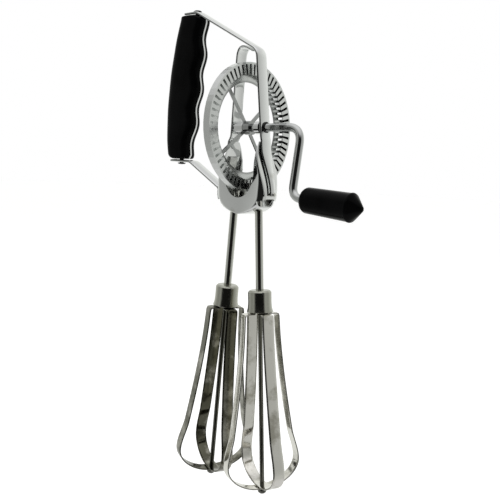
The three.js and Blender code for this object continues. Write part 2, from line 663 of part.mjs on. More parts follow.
for (const [end, side] of Object.entries(SIDES)) {
  const group = groups[end];
  const headLow = -BLADE_BOTTOM - 1.1 - BLADE_THICKNESS / 2 - FIT_GAP;
  const spindle = turned([
    [0, headLow - 3.6], [1.9, headLow - 3.6], [2.8, headLow - 2.7], [3.1, headLow - 1.4],
    [2.9, headLow], [SPINDLE_RADIUS, headLow],
    [SPINDLE_RADIUS, -31.2], [2.4, -31.2], [2.4, -30.2], [0, -29.8],
  ], 16);
  addPiece(`${end}_spindle`, spindle, STEEL, group);

  const tube = ring(TUBE_RADIUS, SPINDLE_RADIUS + 0.08, -COLLAR_BOTTOM + 2, -33.4, 24);
  addPiece(`${end}_drive_tube`, tube, STEEL, group);

  const pinion = new THREE.ExtrudeGeometry(pinionShape(), {
    depth: PINION_WIDTH, bevelEnabled: false, curveSegments: 8,
  });
  pinion.rotateZ(side < 0 ? Math.PI / 2 : -Math.PI / 2 + Math.PI / PINION_TEETH);
  pinion.translate(0, 0, PINION_Z - PINION_WIDTH / 2);
  addPiece(`${end}_pinion`, pinion, STEEL, group);

  const bore = TUBE_RADIUS + 0.05;
  addPiece(`${end}_collar`, turned([
    [bore, -COLLAR_TOP], [bore, -COLLAR_TOP - 3], [6.9, -COLLAR_TOP - 3], [6.9, -COLLAR_BOTTOM],
    [COLLAR_RADIUS + 0.9, -COLLAR_BOTTOM], [COLLAR_RADIUS, -COLLAR_BOTTOM + 2.4],
    [COLLAR_RADIUS, -COLLAR_TOP - 0.7], [COLLAR_RADIUS - 0.7, -COLLAR_TOP], [bore, -COLLAR_TOP],
  ], 32), STEEL, group);

  const blades = new THREE.Group();
  blades.rotation.z = -rad(BLADE_PHASE);
  group.add(blades);
  addPiece(`${end}_inner_blade`, geometryOf(blade(0)), STEEL, blades);
  addPiece(`${end}_outer_blade`, geometryOf(blade(1.1)), STEEL, blades).rotation.z = Math.PI / 2;
}

export default model;
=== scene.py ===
"""Looks of the rotary egg beater: smooth skins over the CAD frame, materials, light and camera."""

import math

import bmesh
import bpy
from mathutils import Matrix, Vector


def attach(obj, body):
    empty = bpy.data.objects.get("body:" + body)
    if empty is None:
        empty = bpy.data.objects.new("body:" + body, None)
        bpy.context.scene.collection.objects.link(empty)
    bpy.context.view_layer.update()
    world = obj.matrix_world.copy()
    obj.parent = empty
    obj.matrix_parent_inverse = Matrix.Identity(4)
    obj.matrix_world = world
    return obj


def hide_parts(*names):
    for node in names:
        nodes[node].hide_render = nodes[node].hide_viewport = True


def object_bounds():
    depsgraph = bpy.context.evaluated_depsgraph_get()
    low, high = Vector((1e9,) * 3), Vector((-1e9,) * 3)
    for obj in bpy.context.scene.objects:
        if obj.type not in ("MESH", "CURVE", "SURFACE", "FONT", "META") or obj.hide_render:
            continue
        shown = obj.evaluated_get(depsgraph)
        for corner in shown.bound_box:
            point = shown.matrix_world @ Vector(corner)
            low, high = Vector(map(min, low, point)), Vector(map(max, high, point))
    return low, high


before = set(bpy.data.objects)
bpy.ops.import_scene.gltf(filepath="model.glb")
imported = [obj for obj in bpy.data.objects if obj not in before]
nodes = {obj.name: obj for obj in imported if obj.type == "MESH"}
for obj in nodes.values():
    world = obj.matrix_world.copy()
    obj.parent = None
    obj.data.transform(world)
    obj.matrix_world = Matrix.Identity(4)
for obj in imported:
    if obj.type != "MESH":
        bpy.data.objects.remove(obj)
cad_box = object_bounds()
scene = bpy.context.scene

MM = 0.001
WHEEL_CENTRE = Vector((0, -58, -28))  # millimetres, in the row frame; the helpers draw about it


# ------------------------------------------------------------------ mesh helpers


def place(x, y, z):
    """A point given in millimetres about the wheel's centre, in metres in the row frame."""
    return (WHEEL_CENTRE + Vector((x, y, z))) * MM


def linked_object(name, verts, faces, weld):
    """A mesh object with its faces turned outwards, and with coinciding points joined if weld is set."""
    mesh = bpy.data.meshes.new(name)
    mesh.from_pydata([tuple(v) for v in verts], [], faces)
    bm = bmesh.new()
    bm.from_mesh(mesh)
    if weld:
        bmesh.ops.remove_doubles(bm, verts=bm.verts, dist=1e-7)
    bmesh.ops.recalc_face_normals(bm, faces=bm.faces)
    bm.to_mesh(mesh)
    bm.free()
    linked = bpy.data.objects.new(name, mesh)
    scene.collection.objects.link(linked)
    return linked


def make_object(name, verts, faces, body, replaced, slot, mat):
    """A smooth-shaded mesh piece that rides on a body and stands for some CAD nodes."""
    piece = linked_object(name, verts, faces, True)
    piece.data.materials.append(mat)
    smooth(piece, 40)
    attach(piece, body)
    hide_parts(*replaced)
    return piece


def smooth(piece, angle):
    """Smooth shading, with edges sharper than angle degrees kept crisp."""
    mesh = piece.data
    mesh.polygons.foreach_set("use_smooth", [True] * len(mesh.polygons))
    mesh.set_sharp_from_angle(angle=math.radians(angle))


def round_edges(piece, width, angle=35):
    """A small bevel on the crisp edges, so that they catch the light."""
    bevel = piece.modifiers.new("edge_round", "BEVEL")
    bevel.width = width * MM
    bevel.segments = 2
    bevel.limit_method = "ANGLE"
    bevel.angle_limit = math.radians(angle)
    bevel.harden_normals = True
    bevel.use_clamp_overlap = True


def skin(rings):
    """Vertices and faces of a tube of equal closed rings of points, with both ends capped."""
    around = len(rings[0])
    verts = [p for one in rings for p in one]
    faces = []
    for i in range(len(rings) - 1):
        for j in range(around):
            k = (j + 1) % around
            faces.append((i * around + j, i * around + k, (i + 1) * around + k, (i + 1) * around + j))
    faces.append(tuple(range(around)))
    faces.append(tuple((len(rings) - 1) * around + j for j in reversed(range(around))))
    return verts, faces


def rounded_corners(points, steps=8):
    """A 2-D route through (u, v, radius) corners; a corner of radius 0 stays as it is."""
    route = [Vector(points[0][:2])]
    for i in range(1, len(points) - 1):
        corner, radius = Vector(points[i][:2]), points[i][2]
        if not radius:
            route.append(corner)
            continue
        before = (Vector(points[i - 1][:2]) - corner).normalized()
        after = (Vector(points[i + 1][:2]) - corner).normalized()
        half = math.acos(max(-1, min(1, before.dot(after)))) / 2
        reach = radius / math.tan(half)
        start, end = corner + before * reach, corner + after * reach
        for s in range(steps + 1):
            t = s / steps
            route.append(start * (1 - t) ** 2 + corner * 2 * t * (1 - t) + end * t**2)
    route.append(Vector(points[-1][:2]))
    return route


def evenly(route, step):
    """The 2-D route resampled at about even steps."""
    lengths = [0.0]
    for a, b in zip(route, route[1:]):
        lengths.append(lengths[-1] + (b - a).length)
    count = max(2, round(lengths[-1] / step))
    out, seg = [], 0
    for i in range(count + 1):
        s = lengths[-1] * i / count
        while seg < len(route) - 2 and lengths[seg + 1] < s:
            seg += 1
        span = max(lengths[seg + 1] - lengths[seg], 1e-9)
        out.append(route[seg].lerp(route[seg + 1], (s - lengths[seg]) / span))
    return out


def strip_rings(route, width, thickness, crown, to_space):
    """Rings of a rolled strip: width may vary along it, and its face bows out by crown.

    to_space(u, v, w) turns route coordinates and the distance across into a point.
    """
    rings = []
    for i, point in enumerate(route):
        along = (route[min(i + 1, len(route) - 1)] - route[max(i - 1, 0)]).normalized()
        out = Vector((-along.y, along.x))
        half = (width(point) if callable(width) else width) / 2
        edge = min(thickness * 0.42, half * 0.3)
        upper = []
        for j in range(9):
            w = -1 + 2 * j / 8
            upper.append((w * (half - edge), thickness / 2 + crown * (1 - w * w)))
        bead = [(half - edge + edge * math.sin(a), (thickness / 2) * math.cos(a))
                for a in (math.pi * k / 6 for k in range(1, 6))]
        lower = [(w, h - thickness) for w, h in reversed(upper)]
        section = upper + bead + lower + [(-w, h) for w, h in reversed(bead)]
        rings.append([to_space(*(point + out * h), w) for w, h in section])
    return rings


SECTION_POINTS = 28  # points in each ring of a strip, as strip_rings makes them
SECTION_SIDES = (10, 11, 24, 25)  # faces round a ring that lie on the strip's two narrow sides


def darken_edges(piece, mat):
    """Gives the two narrow sides of a strip their own darker material, painted shade along its edges; the
    end caps are the last two faces.
    """
    piece.data.materials.append(mat)
    for face in piece.data.polygons[:-2]:
        if face.index % SECTION_POINTS in SECTION_SIDES:
            face.material_index = 1


def lathe_rings(profile, segments, to_space):
    """Rings of a turned piece: profile is (radius, height along the axis)."""
    rings = []
    for r, h in profile:
        ring = []
        for j in range(segments):
            a = 2 * math.pi * j / segments
            ring.append(to_space(max(r, 1e-4) * math.cos(a), max(r, 1e-4) * math.sin(a), h))
        rings.append(ring)
    return rings


def softened(profile, size=0.35):
    """The profile with its corners rounded off over a small size, so that they shade softly."""
    out = [profile[0]]
    for a, b, c in zip(profile, profile[1:], profile[2:]):
        a2, b2, c2 = Vector(a), Vector(b), Vector(c)
        into, away = (a2 - b2), (c2 - b2)
        if into.length < 1e-6 or away.length < 1e-6 or abs(into.normalized().dot(away.normalized())) > 0.97:
            out.append(b)
            continue
        s = min(size, into.length * 0.4, away.length * 0.4)
        for t in (0.0, 0.25, 0.5, 0.75, 1.0):
            p = (b2 + into.normalized() * s) * (1 - t) ** 2 + b2 * 2 * t * (1 - t)
            p += (b2 + away.normalized() * s) * t**2
            out.append(tuple(p))
    out.append(profile[-1])
    return out


# ------------------------------------------------------------------ materials


def new_material(name):
    """A new material, its node tree and its main shader."""
    mat = bpy.data.materials.new(name)
    mat.use_nodes = True
    tree = mat.node_tree
    return mat, tree, tree.nodes["Principled BSDF"]


def add(tree, kind, **settings):
    """A new node, with its inputs or its settings given by name."""
    node = tree.nodes.new(kind)
    for key, value in settings.items():
        if key in node.inputs:
            node.inputs[key].default_value = value
        else:
            setattr(node, key, value)
    return node


def noise(tree, coords, scale, detail=3.0, roughness=0.55, stretch=None):
    """Noise in object space, in features per metre, optionally stretched per axis."""
    source = coords.outputs["Object"]
    if stretch:
        mapping = add(tree, "ShaderNodeMapping")
        mapping.inputs["Scale"].default_value = stretch
        tree.links.new(source, mapping.inputs["Vector"])
        source = mapping.outputs["Vector"]
    node = add(tree, "ShaderNodeTexNoise", Scale=scale, Detail=detail, Roughness=roughness)
    tree.links.new(source, node.inputs["Vector"])
    return node


def ramp(tree, source, stops):
    """A colour ramp over a value: each stop is a position and a colour, or a position and (grey,)."""
    node = add(tree, "ShaderNodeValToRGB")
    tree.links.new(source, node.inputs["Fac"])
    elements = node.color_ramp.elements
    while len(elements) < len(stops):
        elements.new(0.5)
    for element, (position, colour) in zip(elements, stops):
        element.position = position
        element.color = (*colour, 1) if len(colour) == 3 else (colour[0],) * 3 + (1,)
    return node


def bumped(tree, shader, layers):
    """Chains bump nodes: layers are (height socket, strength, distance in mm)."""
    normal = None
    for height, strength, distance in layers:
        bump = add(tree, "ShaderNodeBump", Strength=strength, Distance=distance * MM)
        tree.links.new(height, bump.inputs["Height"])
        if normal:
            tree.links.new(normal, bump.inputs["Normal"])
        normal = bump.outputs["Normal"]
    tree.links.new(normal, shader.inputs["Normal"])


def plated_metal(name, clean, dull, rough, wave=0.05, grain=(1, 1, 1), spots=0.62, wave_scale=45):
    """Bright metal: faint waviness, fine polishing grain, and dull or tarnished patches."""
    mat, tree, shader = new_material(name)
    shader.inputs["Metallic"].default_value = 1.0
    coords = add(tree, "ShaderNodeTexCoord")
    patches = noise(tree, coords, 60, 5, 0.62)
    freckles = noise(tree, coords, 900, 2, 0.5)
    mix = add(tree, "ShaderNodeMath", operation="MULTIPLY")
    tree.links.new(patches.outputs["Fac"], mix.inputs[0])
    tree.links.new(freckles.outputs["Fac"], mix.inputs[1])
    soft = ramp(tree, patches.outputs["Fac"], [(0.3, clean), (spots, clean), (spots + 0.16, dull)])
    tree.links.new(soft.outputs["Color"], shader.inputs["Base Color"])
    polish = noise(tree, coords, 1400, 3, 0.6, grain)
    low, high = rough
    middle = (low + high) / 2
    gloss = ramp(tree, mix.outputs["Value"], [(0.12, (low,)), (0.30, (middle,)), (0.45, (high,))])
    tree.links.new(gloss.outputs["Color"], shader.inputs["Roughness"])
    waves = noise(tree, coords, wave_scale, 1, 0.4)
    bumped(tree, shader, [(waves.outputs["Fac"], wave, 1.2), (polish.outputs["Fac"], 0.03, 0.04)])
    return mat


def from_axle(tree, coords):
    """The offset of a surface point from the wheel's axle, across the axle, and its length."""
    shift = add(tree, "ShaderNodeVectorMath", operation="SUBTRACT")
    shift.inputs[1].default_value = WHEEL_CENTRE * MM
    tree.links.new(coords.outputs["Object"], shift.inputs[0])
    flat = add(tree, "ShaderNodeVectorMath", operation="MULTIPLY")
    flat.inputs[1].default_value = (1, 0, 1)
    tree.links.new(shift.outputs["Vector"], flat.inputs[0])
    length = add(tree, "ShaderNodeVectorMath", operation="LENGTH")
    tree.links.new(flat.outputs["Vector"], length.inputs[0])
    return flat.outputs["Vector"], length.outputs["Value"]


def multiply_colour(tree, shade):
    """Multiplies the colour that the material has so far by a shade."""
    shader = tree.nodes["Principled BSDF"]
    mix = add(tree, "ShaderNodeMix", data_type="RGBA", blend_type="MULTIPLY")
    mix.inputs["Factor"].default_value = 1.0
    tree.links.new(shader.inputs["Base Color"].links[0].from_socket, mix.inputs[6])
    tree.links.new(shade, mix.inputs[7])
    tree.links.new(mix.outputs[2], shader.inputs["Base Color"])


def painted_shade_inside(mat, radius, share):
    """Darkens the colour within a radius (mm) of the wheel's axle: painted shade on its spokes and hub."""
    tree = mat.node_tree
    _, distance = from_axle(tree, add(tree, "ShaderNodeTexCoord"))
    span = add(tree, "ShaderNodeMapRange")
    span.inputs["From Min"].default_value = (radius - 0.6) * MM
    span.inputs["From Max"].default_value = (radius + 0.6) * MM
    tree.links.new(distance, span.inputs["Value"])
    shade = ramp(tree, span.outputs["Result"], [(0.0, (share,)), (1.0, (1.0,))])
    multiply_colour(tree, shade.outputs["Color"])


def painted_groove_shade(mat, radius, share):
    """Darkens faces beyond a radius (mm) that look towards the axle: painted shade on the floors of the
    grooves.
    """
    tree = mat.node_tree
    coords = add(tree, "ShaderNodeTexCoord")
    offset, distance = from_axle(tree, coords)
    outward = add(tree, "ShaderNodeVectorMath", operation="NORMALIZE")
    tree.links.new(offset, outward.inputs[0])
    facing = add(tree, "ShaderNodeVectorMath", operation="DOT_PRODUCT")
    tree.links.new(outward.outputs["Vector"], facing.inputs[0])
    tree.links.new(coords.outputs["Normal"], facing.inputs[1])
    inward = add(tree, "ShaderNodeMath", operation="LESS_THAN")
    inward.inputs[1].default_value = -0.6
    tree.links.new(facing.outputs["Value"], inward.inputs[0])
    beyond = add(tree, "ShaderNodeMath", operation="GREATER_THAN")
    beyond.inputs[1].default_value = radius * MM
    tree.links.new(distance, beyond.inputs[0])
    both = add(tree, "ShaderNodeMath", operation="MULTIPLY")
    tree.links.new(inward.outputs["Value"], both.inputs[0])
    tree.links.new(beyond.outputs["Value"], both.inputs[1])
    shade = ramp(tree, both.outputs["Value"], [(0.0, (1.0,)), (1.0, (share,))])
    multiply_colour(tree, shade.outputs["Color"])


def moulded_plastic(name):
    """Near-black moulded plastic, a little scuffed along the grip."""
    mat, tree, shader = new_material(name)
    shader.inputs["IOR"].default_value = 1.3
    shader.inputs["Specular IOR Level"].default_value = 0.1
    coords = add(tree, "ShaderNodeTexCoord")
    cloud = noise(tree, coords, 70, 3)
    scuffs = noise(tree, coords, 420, 4, 0.65, (1, 1, 0.25))
    fine = noise(tree, coords, 2600, 2)
    blacks = [(0.35, (0.0012, 0.0012, 0.0013)), (0.7, (0.0026, 0.0026, 0.0028))]
    tint = ramp(tree, cloud.outputs["Fac"], blacks)
    tree.links.new(tint.outputs["Color"], shader.inputs["Base Color"])
    gloss = ramp(tree, scuffs.outputs["Fac"], [(0.35, (0.13,)), (0.6, (0.2,)), (0.75, (0.32,))])
    tree.links.new(gloss.outputs["Color"], shader.inputs["Roughness"])
    bumped(tree, shader, [(cloud.outputs["Fac"], 0.05, 0.5), (fine.outputs["Fac"], 0.05, 0.02)])
    return mat


def black_oxide(name):
    """Blackened steel, worn lighter in specks."""
    mat, tree, shader = new_material(name)
    shader.inputs["Metallic"].default_value = 0.85
    coords = add(tree, "ShaderNodeTexCoord")
    wear = noise(tree, coords, 700, 4)
    tint = ramp(tree, wear.outputs["Fac"], [(0.4, (0.02, 0.02, 0.021)), (0.68, (0.07, 0.068, 0.064))])
    tree.links.new(tint.outputs["Color"], shader.inputs["Base Color"])
    gloss = ramp(tree, wear.outputs["Fac"], [(0.3, (0.28,)), (0.7, (0.5,))])
    tree.links.new(gloss.outputs["Color"], shader.inputs["Roughness"])
    bumped(tree, shader, [(wear.outputs["Fac"], 0.15, 0.05)])
    return mat


ALONG_Y = (1, 0.15, 1)  # polishing grain of the turned and drawn pieces
ALONG_Z = (1, 1, 0.12)

CHROME = plated_metal("frame_chrome", (0.80, 0.81, 0.805), (0.60, 0.60, 0.57), (0.05, 0.13))
WHEEL = plated_metal("wheel_chrome", (0.72, 0.735, 0.725), (0.50, 0.51, 0.49), (0.17, 0.28), wave=0.03)
# Painted shade on the wheel's spokes and hub.
painted_shade_inside(WHEEL, 29.8, 0.55)
# Painted shade in the floors of the wheel's grooves.
painted_groove_shade(WHEEL, 36, 0.08)
# Painted shade: dark colours for the narrow sides of the straps and of the blades, drawing dark lines along
# their edges.
STRAP_EDGE_SHADE = plated_metal("strap_edge_painted_shade", (0.34, 0.35, 0.34), (0.18, 0.18, 0.17), (0.12, 0.22), wave=0.03)
BLADE_EDGE_SHADE = plated_metal("blade_edge", (0.13, 0.13, 0.11), (0.06, 0.06, 0.05), (0.12, 0.22), wave=0.03)
ROD = plated_metal("rod_steel", (0.58, 0.59, 0.585), (0.42, 0.42, 0.40), (0.07, 0.16), grain=ALONG_Y)
SHAFT = plated_metal("shaft_steel", (0.62, 0.62, 0.58), (0.42, 0.41, 0.37), (0.07, 0.16), grain=ALONG_Z)
BLADE = plated_metal("blade_steel", (0.82, 0.805, 0.755), (0.46, 0.445, 0.385), (0.06, 0.16),
                     wave=0.12, grain=(1, 1, 0.1), spots=0.5, wave_scale=30)
# A darker copy of the blade steel for the rear beater: painted shade.
SHADED_REAR_BLADE = plated_metal("dull_blade_steel", (0.10, 0.098, 0.072), (0.42, 0.41, 0.36), (0.06, 0.16),
                          wave=0.16, grain=(1, 1, 0.1), spots=0.5, wave_scale=30)
CUP = plated_metal("collar_steel", (0.44, 0.44, 0.385), (0.30, 0.295, 0.25), (0.16, 0.26), grain=ALONG_Z)
PIN = plated_metal("spindle_steel", (0.16, 0.16, 0.14), (0.08, 0.08, 0.07), (0.1, 0.2))
INNER = plated_metal("bearing_steel", (0.62, 0.62, 0.60), (0.40, 0.39, 0.36), (0.16, 0.3))
PLASTIC = moulded_plastic("black_plastic")
# Black oxide on the grip screws; on the front leg's bush the same black is painted shade.
BLACK_OXIDE_AND_SHADE = black_oxide("black_screw")


# ------------------------------------------------------------------ frame straps

# Sizes from here on are in millimetres, and positions are about the wheel's centre, for place().

STRAP_WIDTH = 9.8
STRAP_THICKNESS = 1.8
HOUSING_TOP, HOUSING_WIDE_Z, HOUSING_BOTTOM = -9.0, -43.0, -55.5
HALF_WIDTH, HALF_DEPTH, NECK = 9.4, 19.8, 12.6
SLOT_TOP_HALF, SLOT_HALF = 11.6, 12.2  # half depths of the wheel's slot, at its top and where it rounds
SLOT_ROUND_Z, SLOT_ROUND_DROP = -29, 16.0  # from this height down the slot ends as half an oval
ARCH_Z, ARCH_RISE, ARCH_START = -46.8, 1.8, 15.2  # the arches cut under both ends
SHEET = 1.0
RIVET_Z = -42.3
REAR_THICKNESS = 1.5  # of the rear strap with its bow, as STRAP_THICKNESS is of the front one
TONGUE_START_Z = -16
TONGUE_WIDTH = 4.8
TONGUE_TIP = 2.4  # radius of the tongue's round end
SKIN_GAP = 0.39  # between the housing and the straps that lie on it
UNDER = 2.2  # the rear strap's hook lies this far below the front strap, measured upright
TAB_Z = 77.1  # the front strap lies flat here, over the top of the grip


def housing_profile(z):
    """Half depth of the housing at a height, on its outside."""
    t = max(0.0, min(1.0, (HOUSING_TOP - z) / (HOUSING_TOP - HOUSING_WIDE_Z)))
    return NECK + (HALF_DEPTH - NECK) * t * t * (3 - 2 * t)


def along_housing(side, high, low, thickness):
    """Corners of a strap that follows the housing down, on its front (-1) or rear (1) side."""
    heights = [high - i * 2 for i in range(int((high - low) / 2) + 1)]
    return [(side * (housing_profile(z) + SKIN_GAP + thickness / 2), z, 0) for z in heights]


def upper_strap_z(y):
    """Height of the front strap's sloping top at a depth."""
    return 53.7 + 0.55 * (y - 2.6)


def front_leg_y(z):
    """Depth of the front strap's leg at a height."""
    return -12.5 + 0.105 * z


def rear_leg_y(z):
    """Depth of the rear strap's leg at a height."""
    return 11.4 - 0.05 * z


def tongue_width(point):
    """The strap's width at a point: even, then narrowing to a tongue down the housing."""
    if point.y > TONGUE_START_Z:
        return STRAP_WIDTH
    below = RIVET_Z - point.y
    if below > 0:
        return max(0.9, 2 * math.sqrt(max(0.04, TONGUE_TIP**2 - below**2)))
    t = (TONGUE_START_Z - point.y) / (TONGUE_START_Z - RIVET_Z)
    return STRAP_WIDTH + (TONGUE_WIDTH - STRAP_WIDTH) * t * (2 - t) * 0.96


def in_frame(u, v, w):
    """A point of a strap: its route lies in the YZ plane and its width along X."""
    return place(w, u, v)


def strap(name, corners, width, thickness, crown, replaced):
    """A strap of the frame with its narrow sides toned darker, as painted shade along its edges."""
    route = evenly(rounded_corners(corners), 1.6)
    verts, faces = skin(strip_rings(route, width, thickness, crown, in_frame))
    piece = make_object(name, verts, faces, "frame", [replaced], "frame_chrome", CHROME)
    darken_edges(piece, STRAP_EDGE_SHADE)


strap(
    "front_strap_skin",
    [(57.2, TAB_Z, 0), (46.4, TAB_Z, 5), (-6.9, upper_strap_z(-6.9), 8), (front_leg_y(-6), -6, 6)]
    + along_housing(-1, -9, -44.6, STRAP_THICKNESS),
    tongue_width, STRAP_THICKNESS - 0.35, -0.35, "front_frame_strap",
)
strap(
    "rear_strap_skin",
    [(-3.6, upper_strap_z(-3.6) - UNDER, 0), (rear_leg_y(55), upper_strap_z(rear_leg_y(55)) - UNDER, 6.5),
     (rear_leg_y(-6), -6, 6)] + along_housing(1, -9, -36.6, REAR_THICKNESS),
    tongue_width, REAR_THICKNESS - 0.3, 0.3, "rear_frame_strap",
)
strap(
    "lower_arm_skin",
    [(67.0, -21.9, 0), (49.0, -22.6, 5), (HALF_DEPTH + 1.4, -39.6, 1.4), (HALF_DEPTH + 1.4, -44, 0),
     (HALF_DEPTH + 0.7, -47, 0)],
    STRAP_WIDTH, 1.5, -0.3, "lower_handle_arm",
)

# ------------------------------------------------------------------ gear housing


def housing_ring(z, inset):
    """A rounded rectangle around the housing at a height."""
    t = max(0.0, min(1.0, (HOUSING_TOP - z) / 18.0))
    half_x = STRAP_WIDTH / 2 + (HALF_WIDTH - STRAP_WIDTH / 2) * (t * (2 - t)) - inset
    half_y = housing_profile(z)
    if z < HOUSING_WIDE_Z:
        drop = min(1.0, (HOUSING_WIDE_Z - z) / (HOUSING_WIDE_Z - HOUSING_BOTTOM))
        half_y = HALF_DEPTH * math.sqrt(max(0.0, 1 - drop * drop))
    half_y = max(half_y - inset, 0.6)
    low = max(0.0, min(1.0, (-27 - z) / 17))
    corner = max(0.4, min(1.3 + 3.7 * low * low * (3 - 2 * low), half_x * 0.9, half_y * 0.9) - inset)
    ring = []
    for quarter, (sx, sy) in enumerate(((1, 1), (-1, 1), (-1, -1), (1, -1))):
        for k in range(9):
            a = math.pi / 2 * (quarter + k / 8)
            ring.append(place(sx * (half_x - corner) + corner * math.cos(a),
                              sy * (half_y - corner) + corner * math.sin(a), z))
    return ring


def temporary(name, verts, faces):
    """A plain object for the boolean cuts, removed again afterwards."""
    return linked_object(name, verts, faces, False)


def prism(name, outline, reach):
    """A solid of a YZ outline extruded both ways along X."""
    return temporary(name, *skin([[place(x, u, v) for u, v in outline] for x in (-reach, reach)]))


def housing_levels(top, bottom):
    """Heights of the housing's rings from top to bottom, closer together where it rounds under."""
    heights = [top] if top > HOUSING_TOP else []
    heights += [HOUSING_TOP - 1.25 * i for i in range(28)]
    drop = bottom - HOUSING_WIDE_Z
    heights += [HOUSING_WIDE_Z + drop * math.sin(math.pi / 2 * i / 12) for i in range(1, 13)]
    return [z for i, z in enumerate(heights) if i == 0 or z < heights[i - 1] - 0.05]


def housing_skin():
    """The pressed housing: hollow, with a slot for the wheel and an arch under each end."""
    outer_rings = [housing_ring(z, 0) for z in housing_levels(HOUSING_TOP, HOUSING_BOTTOM + 0.02)]
    inner_rings = [housing_ring(z, SHEET) for z in housing_levels(-3, HOUSING_BOTTOM + SHEET)]
    outer = temporary("housing_outer", *skin(outer_rings))
    inner = temporary("housing_inner", *skin(inner_rings))
    turns = [math.pi * (1 + k / 28) for k in range(29)]
    oval = [(SLOT_HALF * math.cos(a), SLOT_ROUND_Z + SLOT_ROUND_DROP * math.sin(a)) for a in turns]
    slot = [(-SLOT_TOP_HALF, 10)] + oval + [(SLOT_TOP_HALF, 10)]
    arch_half = HALF_WIDTH + 2
    arch = [(-arch_half, -70)]
    for k in range(13):
        u = -1 + 2 * k / 12
        arch.append((arch_half * u, ARCH_Z + ARCH_RISE * (1 - (u * 1.25) ** 2)))
    arch.append((arch_half, -70))
    tools = [inner, prism("wheel_slot", slot, 20)]
    for side in (-1, 1):
        rings = [[place(u, y, v) for u, v in arch] for y in (side * ARCH_START, side * 30)]
        tools.append(temporary("floor_arch", *skin(rings)))
    for tool in tools:
        cutter = outer.modifiers.new("cut", "BOOLEAN")
        cutter.operation = "DIFFERENCE"
        cutter.solver = "EXACT"
        cutter.object = tool
    depsgraph = bpy.context.evaluated_depsgraph_get()
    mesh = bpy.data.meshes.new_from_object(outer.evaluated_get(depsgraph))
    verts = [v.co.copy() for v in mesh.vertices]
    faces = [tuple(p.vertices) for p in mesh.polygons]
    for tool in [*tools, outer]:
        bpy.data.objects.remove(tool)
    piece = make_object("housing_skin", verts, faces, "frame", ["gear_housing"], "frame_chrome", CHROME)
    round_edges(piece, 0.22, 40)


housing_skin()

# ------------------------------------------------------------------ grip

GRIP_TOP, GRIP_BOTTOM, GRIP_HALF = 75.6, -20.7, 6.7
CORE_HALF = 0.8  # half the thickness of the plate between the two scales
EDGE_ROUND = 0.9
OVAL_POWER = 0.62  # below 1, the section's oval is squarer
FINGER_PITCH, FINGER_WAVE = 23.3, 1.3  # spacing of the finger grooves and half their depth


def grip_edges(z):
    """Front and back edges of the grip at a height."""
    up = z - 19
    wave = FINGER_WAVE * math.cos(2 * math.pi * (z - 49) / FINGER_PITCH)
    top_round = 5.5 * max(0.0, (z - 72) / (GRIP_TOP - 72)) ** 2.5
    bottom_round = 1.5 * max(0.0, (GRIP_BOTTOM + 3 - z) / 3) ** 2
    front = 46.2 - 0.1355 * up + 0.00117 * up * up - wave + top_round + bottom_round
    bow = (z - 3) / (74 if z > 3 else 23)
    back = 72.6 - (12.2 * abs(bow) ** 2.1 if z > 3 else 2.4 * bow**2) - 2.5 * bottom_round
    return front, back


def grip_scale(side):
    """One plastic half of the grip, with rounded edges all round and a flat inner face."""
    rings = []
    span = GRIP_TOP - GRIP_BOTTOM
    ends = (0, 0.15, 0.45, EDGE_ROUND)
    heights = [GRIP_BOTTOM + d for d in ends] + [GRIP_TOP - d for d in ends]
    heights += [GRIP_BOTTOM + span * i / 64 for i in range(1, 64)]
    for z in sorted(set(heights)):
        front, back = grip_edges(z)
        end = min(z - GRIP_BOTTOM, GRIP_TOP - z, EDGE_ROUND)
        inset = EDGE_ROUND * (1 - math.sqrt(max(0.0, 1 - (1 - end / EDGE_ROUND) ** 2)))
        ring = [place(side * CORE_HALF, front + inset, z)]
        for k in range(25):
            a = math.pi * k / 24
            x = (GRIP_HALF - inset) * abs(math.sin(a)) ** OVAL_POWER
            c = math.cos(a)
            reach = (back - front) / 2 - inset
            y = (front + back) / 2 - reach * math.copysign(abs(c) ** OVAL_POWER, c)
            ring.append(place(side * max(x, CORE_HALF), y, z))
        ring.append(place(side * CORE_HALF, back - inset, z))
        rings.append(ring)
    return skin(rings)


for side, name in ((-1, "near_grip_scale"), (1, "far_grip_scale")):
    piece = make_object(f"{name}_skin", *grip_scale(side), "frame", [name], "black_plastic", PLASTIC)
    smooth(piece, 50)


# ------------------------------------------------------------------ crank and knob

CRANK_LEAN = math.radians(9.7)
KNOB_DROOP = math.radians(5)
ROD_RADIUS = 2.6
CRANK_RADIUS = 43.8
ARM_Y = -41.3
ARM_BEND = 10.5  # radius of the corner between the axle and the arm
KNOB_BEND = 8.18  # and of the corner between the arm and the knob's pin
KNOB_START = 9.3  # from the rod's centre line, along the knob's axis, to the knob's foot
KNOB_RADIUS = 8.5
ROD_END_ROUND, ROD_END_INSET = 0.9, 0.45  # over this length the rod's rear end is drawn in, by this


def crank_space(x, y, z):
    """A point of the crank drawn hanging straight, leaned to its resting angle."""
    cos, sin = math.cos(CRANK_LEAN), math.sin(CRANK_LEAN)
    return place(x * cos + z * sin, y, -x * sin + z * cos)


def bent_rod():
    """The crank's round rod, from the wheel's hub round both corners to the foot of the knob."""
    out_y, out_z = -math.cos(KNOB_DROOP), -math.sin(KNOB_DROOP)
    end = KNOB_START - 0.3
    corners = [(11.0, 0, 0), (ARM_Y, 0, ARM_BEND), (ARM_Y, -CRANK_RADIUS, KNOB_BEND),
               (ARM_Y + out_y * 12, -CRANK_RADIUS + out_z * 12, 0)]
    route = evenly(rounded_corners(corners, 14), 0.9)
    rings = []
    for i, point in enumerate(route):
        along = (route[min(i + 1, len(route) - 1)] - route[max(i - 1, 0)]).normalized()
        out = Vector((-along.y, along.x))
        run = (point - route[0]).length
        radius = ROD_RADIUS - ROD_END_INSET * max(0.0, 1 - run / ROD_END_ROUND)
        ring = []
        for j in range(28):
            a = 2 * math.pi * j / 28
            side = point + out * (radius * math.cos(a))
            ring.append(crank_space(radius * math.sin(a), side.x, side.y))
        rings.append(ring)
    return skin([r for r, p in zip(rings, route) if p.x > ARM_Y + out_y * end])


make_object("crank_rod_skin", *bent_rod(), "crank", ["crank_rod"], "steel", ROD)


